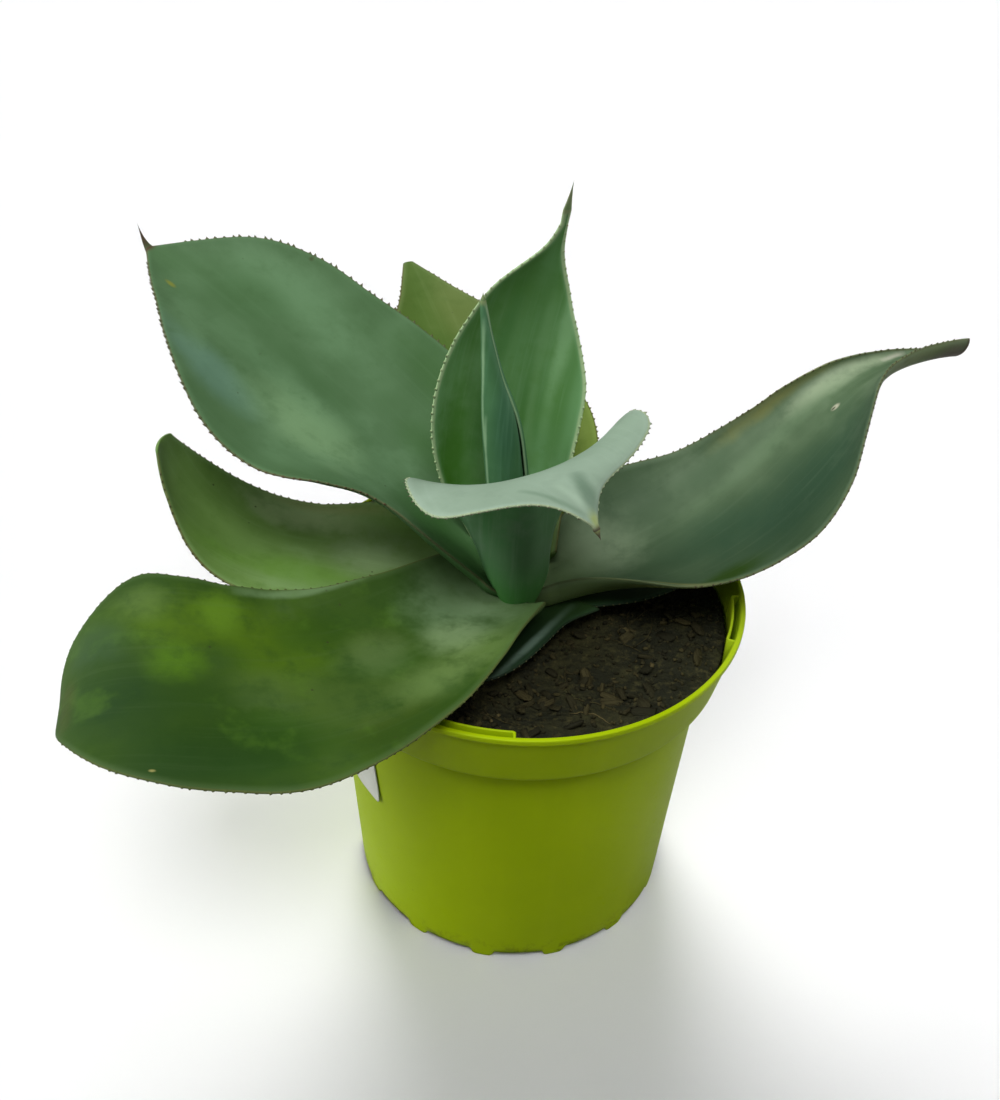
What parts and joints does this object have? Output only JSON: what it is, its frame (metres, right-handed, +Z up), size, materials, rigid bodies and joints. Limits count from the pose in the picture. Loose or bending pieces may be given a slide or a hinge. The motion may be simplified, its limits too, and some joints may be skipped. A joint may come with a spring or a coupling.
{
  "type": "potted plant",
  "caption": "Potted agave gypsicola: a rosette of broad toothed blue-green leaves with a central spear, in a lime-green plastic nursery pot filled with soil.",
  "frame": {"origin": "centre of the flat boss under the pot, on the surface that the pot stands on", "axes": "+Z up; the viewer of the picture stands at -Y, with +X to the right, toward the leaf that reaches over the right of the rim"},
  "size_m": [0.2734, 0.2423, 0.2419],
  "materials": {
    "pot": "thin lime-green injection-moulded plastic, semi-gloss",
    "soil": "dark damp potting soil with brown bark chips, matt and rough",
    "stem": "pale green plant flesh, matt",
    "label": "blank white sticker, matt",
    "leaf": "blue-green waxy succulent leaf with a soft sheen and dark margin teeth"
  },
  "bodies": {
    "root": {"pot": "pot", "soil": "soil", "stem": "stem", "label": "label", "spear": "leaf", "leaf_front": "leaf", "leaf_upright": "leaf", "leaf_upper_left": "leaf", "leaf_right": "leaf", "leaf_front_left": "leaf", "leaf_back_left": "leaf", "leaf_left": "leaf", "leaf_back": "leaf", "leaf_low_front": "leaf", "leaf_low_right": "leaf"}
  },
  "joints": []
}
